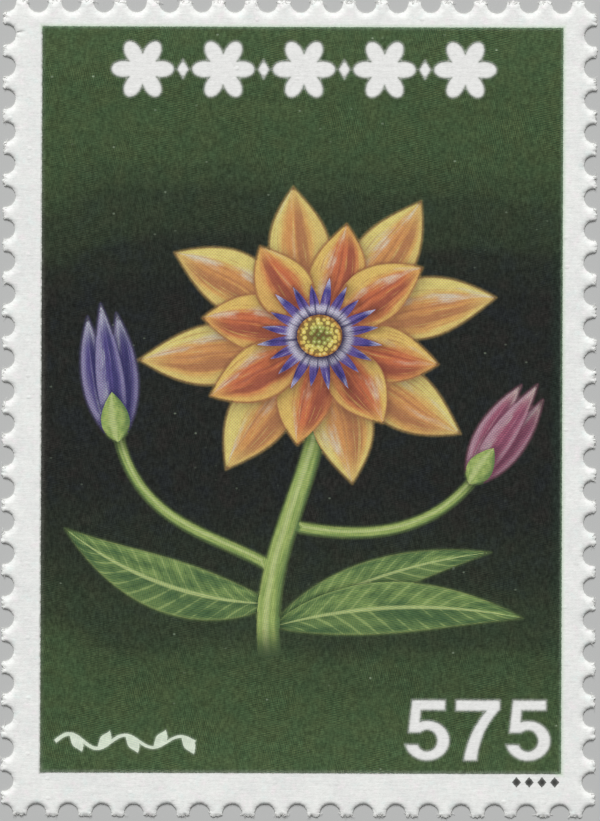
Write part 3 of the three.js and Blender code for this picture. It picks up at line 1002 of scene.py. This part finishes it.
def ground_finish():
    finish = ink("ground_ink")
    drift = finish.noise(0.09) * FADE_DRIFT + finish.x * FADE_SLANT
    streak = finish.woven(0.08, 1.1, 3.0) * FADE_STREAK
    beside = finish.smooth(finish.x, -8.0, -11.5, 1.0, 1.1)
    height = finish.y * beside + drift + streak - FADE_WANDER_MEAN
    foot, head = FADE_ENDS
    stops = [((y - foot) / (head - foot), (share, share, share, 1.0)) for y, share in GROUND_FADE]
    green_share = finish.ramp((height - foot) / (head - foot), stops)
    hue = finish.noise(1.1, 3.0, 0.6)
    green = finish.between(GROUND_WARM, GROUND_COLD, finish.smooth(hue, 0.3, 0.7))
    beyond, near_left, near_foot, near_top_right = panel_edges(finish)
    dusk = finish.noise(0.8, 3.0, 0.65)
    black = finish.tinted(linear(GROUND_DARK), GROUND_ROSE, finish.smooth(dusk, 0.5, 0.66, 0.0, 0.32))
    black = finish.tinted(black, GROUND_BLUE, finish.smooth(dusk, 0.5, 0.36, 0.0, 0.42))
    black = finish.tinted(black, GROUND_BROWN, finish.smooth(beyond, -0.55, -0.15) * near_left)
    black = finish.tinted(black, GROUND_GREEN_EDGE, finish.smooth(finish.x + hue * 0.6, 11.2, 11.7))
    colour = finish.mix(black, green, green_share)
    pinholes = scattered(finish, 2.2, 3.0, 0.18, 0.97) * (green_share * 0.2 + 0.3)
    colour = finish.tinted(colour, GROUND_SPECK, pinholes)
    halo = finish.smooth(beyond, -0.13, 0.0, 0.0, 0.55) * near_top_right
    colour = finish.tinted(colour, GREEN_HALO_INSIDE, halo)
    worn = finish.smooth(beyond, -0.2, 0.0, 0.0, 0.1) * (near_foot * 1.4 + 1.0)
    colour = finish.tinted(colour, INK_SPREAD, worn)
    cloud = finish.smooth(finish.noise(1.9, 3.0, 0.6), 0.3, 0.7, 0.96, 1.04)
    weave = finish.woven(8.5, 3.2, 2.0, 0.7)
    weave = finish.smooth(weave, 0.3, 0.7, -1.0, 1.0) * (0.27 - green_share * 0.09) + 1.0
    laid = finish.woven(5.0, 16.0, 1.0)
    weave += finish.smooth(laid, 0.3, 0.7, -1.0, 1.0) * 0.13
    fuller = finish.smooth(abs(finish.y - PANEL["y"]), 13.0, 16.0, 1.0, 1.15)
    patchy = finish.smooth(finish.noise(0.45, 2.0), 0.38, 0.64, 0.08, 0.34)
    patchy *= green_share * 0.35 + 0.65
    colour = finish.scaled(colour, cloud * weave * fuller)
    colour = finish.mix(colour, finish.attribute("neighbour", "Vector"), at_edge(finish, 0.34))
    return print_out(finish, colour, grain=0.2, cyan=patchy * 0.85, black=patchy * 0.9)


def petal_finish(name, tones, **strengths):
    """Broad washes and lengthwise brush strokes on a petal, whose light side is at 1 across."""
    finish = ink(name)
    across, along, number = finish.place()
    shade = finish.attribute("shade", "Fac")
    own = finish.brushed(number * 3.7, 0.5, 0.5, 0.0) - 0.5
    wander = finish.brushed(across * 0.9, along * 2.4, number * 7.3, 2.0) - 0.5
    brush = finish.brushed(across * 4.5, along * 1.7, number * 5.1, 4.0, 0.65) - 0.5
    hair = finish.brushed(across * 13.0, along * 2.6, number * 3.1, 3.0, 0.6)
    gleam = finish.brushed(across * 1.9, along * 2.6, number * 5.7 + 9.0, 4.0, 0.6)
    lane = across + wander * 0.7 + brush * 0.35 + own * 0.9
    ends = finish.smooth(along, 0.04, 0.3) * finish.smooth(along, 1.0, 0.72)
    rib = finish.smooth(abs(across + wander * 0.25), 0.015, 0.075, 0.6, 0.0)
    outline = finish.smooth(abs(across), 0.9, 1.0) * finish.smooth(brush, -0.05, 0.12, 0.5, 0.1)
    layers = [
        ("warm", finish.smooth(abs(lane - 0.05), 0.55, 0.1, 0.0, 0.8) * ends),
        ("edge", finish.smooth(lane, 0.28, 0.7, 0.0, 0.92)),
        ("edge", finish.smooth(lane, -0.62, -0.86, 0.0, 0.65)),
        ("stroke", finish.smooth(abs(lane + 0.36), 0.3, 0.08, 0.0, 0.85) * ends),
        ("gleam", finish.smooth(gleam, 0.47, 0.68) * finish.smooth(abs(lane - 0.34), 0.5, 0.05) * 0.75),
        ("stroke", finish.smooth(hair, 0.44, 0.33, 0.0, 0.4)),
        ("edge", finish.smooth(hair, 0.57, 0.7, 0.0, 0.4)),
        ("stroke", rib * finish.smooth(along, 0.97, 0.6)),
        ("deep", finish.math("MAXIMUM", shade * 0.75, outline)),
        ("stroke", at_edge(finish, 0.6, "seam")),
    ]
    colour = finish.graded(along, tones, [(0.0, "foot"), (0.26, "body"), (0.68, "body"), (1.0, "tip")])
    return print_out(finish, soft_edged(finish, finish.layered(colour, tones, layers)), **strengths)


PETAL_TONES = {
    "orange_ink": {
        "foot": (170, 124, 84), "body": (200, 154, 92), "tip": (203, 177, 109), "warm": (197, 138, 86),
        "stroke": (162, 109, 77), "edge": (208, 195, 119), "gleam": (203, 200, 183), "deep": (96, 64, 52),
    },
    "deep_orange_ink": {
        "foot": (122, 68, 58), "body": (194, 124, 80), "tip": (208, 162, 94), "warm": (190, 104, 72),
        "stroke": (144, 78, 64), "edge": (212, 182, 104), "gleam": (206, 192, 170), "deep": (78, 42, 38),
    },
    "violet_ink": {
        "foot": (60, 60, 108), "body": (92, 86, 132), "tip": (182, 184, 194), "warm": (78, 70, 124),
        "stroke": (56, 54, 100), "edge": (138, 132, 164), "gleam": (174, 174, 190), "deep": (30, 30, 54),
    },
    "pink_ink": {
        "foot": (130, 72, 90), "body": (151, 95, 115), "tip": (192, 178, 170), "warm": (145, 82, 103),
        "stroke": (124, 72, 93), "edge": (168, 136, 148), "gleam": (180, 164, 166), "deep": (66, 42, 54),
    },
}
PETAL_SCREENS = {
    "orange_ink": {"magenta": 0.26, "yellow": 0.12},
    "deep_orange_ink": {"magenta": 0.28, "yellow": 0.12},
    "violet_ink": {"magenta": 0.5, "cyan": 0.2},
    "pink_ink": {"magenta": 0.3, "cyan": 0.18, "black": 0.12},
}
LEAF_TONES = {
    "deep": (76, 103, 65), "fresh": (123, 147, 86), "far side": (62, 88, 60), "vein": (145, 164, 103),
    "between veins": (56, 80, 54), "rib": (164, 179, 119), "margin": (140, 160, 97), "shade": (32, 46, 32),
}
STEM_TONES = {
    "deep": (127, 150, 84), "fresh": (157, 174, 103), "ridge": (185, 194, 136), "far side": (80, 107, 66),
    "rust": (150, 112, 84), "shade": (38, 52, 34), "edge": EDGE_DARK, "foot": STEM_FOOT,
}
RAY_TONES = {
    "root": (60, 44, 88), "collar": (190, 186, 204), "inner": (98, 84, 146), "outer": (76, 70, 136),
    "tip": (164, 164, 194), "thread": (44, 40, 86), "gleam": (190, 186, 206), "shade": (30, 26, 48),
}
MIDDLE_TONES = {
    "heart": (96, 108, 58), "inner": (148, 156, 82), "outer": (214, 198, 106), "rim": (200, 148, 78),
    "grain": (230, 222, 160), "gap": (106, 76, 48), "edge": (112, 66, 48),
}


def leaf_finish():
    finish = ink("leaf_ink")
    across, along, number = finish.place()
    shade = finish.attribute("shade", "Fac")
    aside = abs(across)
    wash = finish.brushed(across * 1.6, along * 5.0, number * 4.1, 4.0, 0.6)
    veins = finish.math("SINE", (along * 14.0 - aside * 1.6) * (2 * math.pi)) + (wash - 0.5) * 1.4
    colour = finish.between(LEAF_TONES["deep"], LEAF_TONES["fresh"], finish.smooth(wash, 0.3, 0.7))
    colour = finish.layered(colour, LEAF_TONES, [
        ("far side", finish.smooth(across, 0.08, -0.08, 0.0, 0.45)),
        ("vein", finish.smooth(veins, 0.72, 1.05, 0.0, 0.6)),
        ("between veins", finish.smooth(veins, -0.7, -1.1, 0.0, 0.4)),
        ("rib", finish.smooth(aside, 0.03, 0.11, 0.9, 0.0)),
        ("margin", finish.smooth(aside, 0.84, 1.0, 0.0, 0.6)),
        ("shade", shade * 0.85),
    ])
    return print_out(finish, soft_edged(finish, colour), cyan=0.24, yellow=0.12, black=0.1)


def stem_finish():
    finish = ink("stem_ink")
    across, along, number = finish.place()
    shade = finish.attribute("shade", "Fac")
    streak = finish.brushed(across * 2.4, along * 6.0, number * 2.0, 4.0, 0.6)
    colour = finish.between(STEM_TONES["deep"], STEM_TONES["fresh"], finish.smooth(streak, 0.35, 0.65))
    colour = finish.layered(colour, STEM_TONES, [
        ("ridge", finish.smooth(abs(across - 0.2), 0.4, 0.05, 0.0, 0.6)),
        ("far side", finish.smooth(across + streak * 0.4, -0.1, -0.8, 0.0, 0.85)),
        ("rust", finish.smooth(streak, 0.6, 0.72, 0.0, 0.3)),
        ("shade", shade * 0.85),
        ("edge", at_edge(finish, 0.66)),
        ("foot", finish.smooth(finish.y, *STEM_FADE, 0.0, 0.95)),
    ])
    return print_out(finish, colour, cyan=0.15, yellow=0.1, black=0.08)


def from_blossom(finish):
    """The distance from the blossom's middle, and the direction as a point on a circle of radius 1."""
    x = finish.x - BLOSSOM["x"]
    y = (finish.y - BLOSSOM["y"]) / BLOSSOM["squash"]
    radius = finish.math("SQRT", x * x + y * y)
    return radius, x / (radius + 0.01), y / (radius + 0.01)


def ray_ring_finish():
    finish = ink("ray_ring_ink")
    radius, side, up = from_blossom(finish)
    threads = finish.brushed(side * 11.0, up * 11.0, radius * 0.5, 3.0, 0.6)
    colour = finish.graded(radius / RAYS["outer"], RAY_TONES, [
        (0.36, "root"), (0.50, "collar"), (0.62, "inner"), (0.82, "outer"), (1.0, "tip"),
    ])
    colour = finish.layered(colour, RAY_TONES, [
        ("thread", finish.smooth(threads, 0.5, 0.36, 0.0, 0.75)),
        ("gleam", finish.smooth(threads, 0.56, 0.7, 0.0, 0.5)),
        ("shade", finish.attribute("shade", "Fac") * 0.8),
    ])
    return print_out(finish, colour, magenta=0.35, cyan=0.2)


def middle_finish():
    finish = ink("middle_ink")
    radius = from_blossom(finish)[0]
    cell = finish.node("ShaderNodeTexVoronoi", {}, {"Vector": finish.spot, "Scale": 5.2}, "Distance")
    colour = finish.graded(radius / MIDDLE_RADIUS, MIDDLE_TONES, [
        (0.0, "heart"), (0.35, "inner"), (0.7, "outer"), (1.0, "rim"),
    ])
    colour = finish.layered(colour, MIDDLE_TONES, [
        ("grain", finish.smooth(cell, 0.34, 0.1, 0.0, 0.75)),
        ("gap", finish.smooth(cell, 0.42, 0.62, 0.0, 0.8)),
        ("edge", finish.smooth(radius, MIDDLE_RADIUS * 0.88, MIDDLE_RADIUS, 0.0, 0.5)),
    ])
    return print_out(finish, colour, magenta=0.2, yellow=0.1)


def pale_finish():
    finish = ink("pale_ink")
    wash = finish.noise(2.0, 3.0)
    return print_out(finish, finish.between(PALE_GREEN, PALE_WHITE, wash), cyan=0.12)


def black_finish():
    finish = ink("black_ink")
    wash = finish.noise(6.0, 3.0)
    colour = finish.between(BLACK_FULL, BLACK_WORN, wash)
    return print_out(finish, soft_edged(finish, colour, NEIGHBOUR_TONES["bare"], 0.14))


def make_finishes():
    """Finishes by the look that each film asks for."""
    looks = {slot: petal_finish(slot, tones, **PETAL_SCREENS[slot]) for slot, tones in PETAL_TONES.items()}
    looks["stem_ink"] = stem_finish()
    looks["leaf_ink"] = leaf_finish()
    looks["ray_ring"] = ray_ring_finish()
    looks["middle_ink"] = middle_finish()
    looks["pale_ink"] = pale_finish()
    looks["black_ink"] = black_finish()
    looks["ground_ink"] = ground_finish()
    for bud_ink in ("violet_ink", "pink_ink"):
        looks[f"cup_{bud_ink}"] = looks["stem_ink"]
        for part in ("front_petal", "left_petal", "right_petal"):
            looks[f"{part}_{bud_ink}"] = looks[bud_ink]
    return looks


# Pieces


def seat(piece, finish, slot, *nodes):
    """Gives a piece its finish and its body, and hides the nodes of the frame that it stands for."""
    piece.data.materials.append(finish.material)
    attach(piece, "root")
    if nodes:
        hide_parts(*nodes)


def crease_at(points):
    """How far points lie from the crease's line, and how deep it is there."""
    start, end = np.array(CREASE["start"]), np.array(CREASE["end"])
    line = end - start
    along = np.clip((points - start) @ line / (line @ line), 0, 1)
    away = points - start - along[:, None] * line
    gaps = np.linalg.norm(away, axis=1)
    widths = np.where(away[:, 1] > 0, CREASE["steep"], CREASE["gentle"])
    return gaps, CREASE["depth"] * (1 - along) * np.clip(1 - gaps / widths, 0, 1)


def uneven_grid(outline, tree):
    """Points inside the sheet where its face isn't flat: along the perforation and the crease."""
    band = max(RIM_WIDTH) + RIM_GRID
    columns = np.arange(-HALF_ACROSS, HALF_ACROSS + RIM_GRID, RIM_GRID)
    rows = np.arange(-HALF_DOWN, HALF_DOWN + RIM_GRID, RIM_GRID)
    xs, ys = np.meshgrid(columns, rows)
    grid = np.column_stack((xs.ravel(), ys.ravel()))
    deep = np.minimum(HALF_ACROSS - abs(grid[:, 0]), HALF_DOWN - abs(grid[:, 1]))
    grid = grid[deep < HOLE_RADIUS + band]
    grid = grid[(gaps_to(tree, grid) < band) & (crease_at(grid)[0] > CREASE["gentle"] * CREASE_CLEAR)]
    start, end = np.array(CREASE["start"]), np.array(CREASE["end"])
    side = np.array((start[1] - end[1], end[0] - start[0])) / np.linalg.norm(end - start)
    steps = round(np.linalg.norm(end - start) / CREASE_STEP)
    steep, gentle = CREASE["steep"], CREASE["gentle"]
    rows = (-CREASE_CLEAR * gentle, -gentle, -gentle / 2, 0, steep / 2, steep, gentle)
    folds = [lerp(start, end, step / steps) + side * row for step in range(steps + 2) for row in rows]
    points = np.concatenate((grid, folds))
    points = points[gaps_to(tree, points) > RIM_GRID / 2]
    return points[inside(points, outline)]


def make_sheet():
    """The paper, with its gum underneath. Returns its torn tips."""
    outline, tips = torn_outline()
    tree = tree_of(outline)

    def face_height(points):
        nearest, gaps, _ = nearest_of(tree, points)
        towards_top = (1 + (nearest[:, 1] - points[:, 1]) / np.maximum(gaps, RIM_GRID)) / 2
        closeness = np.clip(1 - gaps / lerp(*RIM_WIDTH, towards_top), 0, 1)
        rim = lerp(*RIM_DROP, towards_top) * closeness**RIM_BEND
        return PAPER_TOP - np.maximum(rim, crease_at(points)[1])

    bare = bare_outlines()
    rings = [ring_beside(place, -EDGE_REACH) for place in bare]
    points, triangles, _ = split_areas([outline], np.concatenate((uneven_grid(outline, tree), *bare, *rings)))
    paper, flat = slab("paper", points, triangles, face_height, GUM_TOP)
    store(paper, "edge", gaps_to(tree_of(np.concatenate(bare)), flat))
    paper.data.shade_smooth()
    paper.data.set_sharp_from_angle(angle=math.radians(SHARP_ANGLE))
    bake_map(paper)
    seat(paper, paper_finish(), "paper", "paper_sheet")

    points, triangles, _ = split_areas([outline], [])
    gum, _ = slab("gum", points, triangles, GUM_TOP, 0.0)
    bake_map(gum, shown_underneath=True)
    seat(gum, gum_finish(), "gum", "gum_layer")
    return tips


def fibre_path(start, along, outward, width, length, curl, draw):
    """The middle line of a loose fibre. It curls as it goes, and keeps within the reach of the tips."""
    u = draw.uniform(*FIBRE_PLACES) * width
    v = -FIBRE_ROOT
    heading = draw.gauss(0, FIBRES["spread"])
    turning = draw.uniform(-curl, curl)
    height = draw.uniform(*FIBRE_HEIGHT)
    lift = draw.uniform(-FIBRE_LIFT, FIBRE_LIFT)
    step = (length + FIBRE_ROOT) / FIBRE_STEPS
    limit = TIP_MOST - FIBRES["radius"][1]
    path = []
    for index in range(FIBRE_STEPS + 1):
        reach = limit * math.tanh(v / limit)
        x, y = start + along * u + outward * (reach - TIP_FOOT)
        path.append(np.array((x, y, height + lift * index / FIBRE_STEPS)))
        u += step * math.sin(heading)
        v += step * math.cos(heading)
        heading += turning * step
    return path


def add_tube(vertices, faces, path, radii):
    """A closed tube along a path that runs nearly level."""
    first = len(vertices)
    for index, (spot, radius) in enumerate(zip(path, radii)):
        ahead = path[min(index + 1, len(path) - 1)] - path[max(index - 1, 0)]
        side = np.cross(ahead, (0.0, 0.0, 1.0))
        side /= np.linalg.norm(side)
        up = np.cross(side, ahead) / np.linalg.norm(ahead)
        for corner in range(FIBRE_SIDES):
            angle = 2 * math.pi * corner / FIBRE_SIDES
            vertices.append(spot + radius * (math.cos(angle) * side + math.sin(angle) * up))
    for ring in range(len(path) - 1):
        for corner in range(FIBRE_SIDES):
            a = first + ring * FIBRE_SIDES + corner
            b = first + ring * FIBRE_SIDES + (corner + 1) % FIBRE_SIDES
            faces.append((a, a + FIBRE_SIDES, b + FIBRE_SIDES, b))
    last = first + (len(path) - 1) * FIBRE_SIDES
    faces.append(tuple(range(first, first + FIBRE_SIDES)))
    faces.append(tuple(reversed(range(last, last + FIBRE_SIDES))))


def make_fibres(tips):
    """The loose fibres that the tearing left on the tips."""
    draw = random.Random(SHEET_SEED + 2)
    vertices, faces = [], []
    for start, end, outward in tips:
        width = np.linalg.norm(end - start)
        along = (end - start) / width
        kinds = [FIBRES] * FIBRES["on_a_tip"]
        if draw.random() < LONG_FIBRES["share"]:
            kinds.append(LONG_FIBRES)
        for kind in kinds:
            length = draw.uniform(*kind["length"])
            path = fibre_path(start, along, outward, width, length, kind["curl"], draw)
            thick = draw.uniform(*FIBRES["radius"])
            add_tube(vertices, faces, path, np.linspace(thick, thick / 2, len(path)))
    piece = add_mesh("torn_fibres", vertices, faces)
    piece.data.shade_smooth()
    bake_map(piece)
    seat(piece, fibre_finish(), "paper")


def painted_shade(points, edges_above):
    """1 at the edge of what lies on top, fading away from it, and weaker towards the painted light."""
    if not len(edges_above):
        return np.zeros(len(points))
    nearest, gaps, _ = nearest_of(tree_of(edges_above), points)
    away = (points - nearest) @ np.array(PAINTED_LIGHT) / np.maximum(gaps, ON_EDGE)
    side = np.where(gaps > ON_EDGE, 1 - SHADE_TURN + SHADE_TURN * away, SHADE_AT_EDGE)
    return np.exp(-gaps / (SHADE_REACH * side)) * side


def motif_grid(outlines):
    """Points inside the petals and leaves, in staggered rows."""
    corners = np.concatenate(outlines)
    low, high = corners.min(axis=0), corners.max(axis=0)
    row_step = PRINT_GRID * math.sqrt(3) / 2
    rows = np.arange(low[1], high[1], row_step)
    points = np.array([
        (x + (index % 2) * PRINT_GRID / 2, y)
        for index, y in enumerate(rows)
        for x in np.arange(low[0], high[0], PRINT_GRID)
    ])
    return points[inside_any(points, outlines)]


def printed_map(bare, films):
    """One flat map of the panel, so that neighbours share their edges: its points, and the triangles of
    each film and of the ground by their nodes."""
    outlines = [*bare, *(outline for film in films for outline in film.outlines)]
    owners = [None] * len(bare) + [film.node for film in films for _ in film.outlines] + ["ground_ink"]
    beside = np.concatenate([ring_beside(outline, EDGE_REACH) for outline in outlines])
    beside = beside[~inside_any(beside, outlines)]
    grid = motif_grid(outlines[len(bare):])
    panel = rectangle(PANEL["x"], PANEL["y"], PANEL["width"] / 2, PANEL["height"] / 2)
    outlines.append(screen_edged(panel, SHEET_SEED))
    points, triangles, inside_of = split_areas(outlines, np.concatenate((grid, beside)))
    cut = {node: [] for node in owners if node}
    for triangle, found in zip(triangles, inside_of):
        owner = owners[min(found)]
        if owner:
            cut[owner].append(list(triangle))
    return points, cut


def tones_around(bare, films):
    """The points of every outline in the ground, and the tone that each gives to the ground beside it."""
    shapes = [("bare", outline) for outline in bare]
    shapes += [(film.slot, outline) for film in films for outline in film.outlines]
    points = np.concatenate([outline for _, outline in shapes])
    slots = np.concatenate([np.full(len(outline), slot) for slot, outline in shapes])
    tones = np.array([linear(NEIGHBOUR_TONES[slot])[:3] for slot in slots])
    tones[(slots == "stem_ink") & (points[:, 1] < STEM_FADE[0])] = linear(STEM_FOOT)[:3]
    return points, tones


def film_slab(node, points, triangles):
    return slab(node.replace("_ink", "_print"), points, triangles, INK_TOP, PAPER_TOP)


def dress_film(piece, finish, slot, node, values):
    """Gives a film what its finish reads at its points, a map for textures, and its seat."""
    for name, given in values.items():
        store(piece, name, given)
    bake_map(piece)
    seat(piece, finish, slot, node)


def make_print(looks):
    """Every film of the panel, and the ground round them."""
    films = printed_films()
    bare = bare_outlines()
    points, cut = printed_map(bare, films)
    border_of = {node: points[[corner for corner, _ in open_edges(cut[node])]] for node in cut}
    ground_border = tree_of(border_of["ground_ink"])
    edges_above = np.zeros((0, 2))
    for film in films:
        piece, flat = film_slab(film.node, points, cut[film.node])
        across, along = film.place(flat)
        dress_film(piece, looks[film.look], film.slot, film.node, {
            "place": np.column_stack((across, along, np.full(len(flat), film.number))),
            "shade": painted_shade(flat, edges_above),
            "edge": gaps_to(ground_border, flat),
            "seam": gaps_to(tree_of(border_of[film.node]), flat),
        })
        edges_above = np.concatenate((edges_above, *film.outlines))
    piece, flat = film_slab("ground_ink", points, cut["ground_ink"])
    around, tones = tones_around(bare, films)
    _, gaps, nearest = nearest_of(tree_of(around), flat)
    values = {"edge": gaps, "neighbour": tones[nearest]}
    dress_film(piece, looks["ground_ink"], "ground_ink", "ground_ink", values)


def make_marks(finish):
    """The small black marks in the bottom border."""
    for index in range(MARKS["count"]):
        node = f"border_mark_ink_{index + 1}"
        middle = (MARKS["x"] + index * MARKS["pitch"], MARKS["y"])
        mark = screen_edged(lozenge(*middle, MARKS["half_width"], MARKS["half_height"]), index)
        points, triangles, _ = split_areas([mark], [middle])
        piece, flat = film_slab(node, points, triangles)
        dress_film(piece, finish, "black_ink", node, {"edge": gaps_to(tree_of(mark), flat)})


# Stage


FLOOR_REACH = 2000.0
FLOOR_DROP = 0.002  # below the gum
KEY_LIGHT = {"size": 1.0, "energy": 67.0, "place": (-0.24, 1.84, 1.4)}  # in metres and watts
ROOM_LIGHT = 0.28
PICTURE_HEIGHT = 36.12  # of the sheet that the picture takes in
PICTURE_MIDDLE = (0.044, -0.09)
PICTURE_TURN = 0.19  # degrees
LENS = 200.0
SENSOR = 36.0
CAMERA_REACH = (0.001, 10.0)  # metres


def make_stage():
    """A plain pale floor, and a soft light from the top of the picture."""
    corners = rectangle(0.0, 0.0, FLOOR_REACH, FLOOR_REACH)
    floor = add_mesh("floor", np.column_stack((corners, np.full(4, -FLOOR_DROP))), [(0, 1, 2, 3)])
    finish = Finish("floor", 0.8, 0.2)
    finish.shader.inputs["Base Color"].default_value = linear(FLOOR_GREY)
    floor.data.materials.append(finish.material)

    key = add("key_light", bpy.data.lights.new("key_light", "AREA"))
    key.data.size = KEY_LIGHT["size"]
    key.data.energy = KEY_LIGHT["energy"]
    key.location = KEY_LIGHT["place"]
    key.rotation_euler = Vector(key.location).to_track_quat("Z", "Y").to_euler()

    world = bpy.data.worlds.new("soft_room")
    world.use_nodes = True
    background = world.node_tree.nodes["Background"]
    background.inputs["Color"].default_value = (1.0, 1.0, 1.0, 1.0)
    background.inputs["Strength"].default_value = ROOM_LIGHT
    bpy.context.scene.world = world
    bpy.context.scene.view_settings.view_transform = "Standard"


def make_camera():
    """The camera, straight above the sheet."""
    camera = add("camera", bpy.data.cameras.new("camera"))
    camera.data.lens = LENS
    camera.data.sensor_width = SENSOR
    camera.data.clip_start, camera.data.clip_end = CAMERA_REACH
    distance = PICTURE_HEIGHT * LENS / SENSOR + INK_TOP
    camera.location = (PICTURE_MIDDLE[0] * MM, PICTURE_MIDDLE[1] * MM, distance * MM)
    camera.rotation_euler = (0.0, 0.0, math.radians(PICTURE_TURN))
    bpy.context.scene.camera = camera


make_camera()
make_fibres(make_sheet())
film_looks = make_finishes()
make_print(film_looks)
make_marks(film_looks["black_ink"])
make_stage()
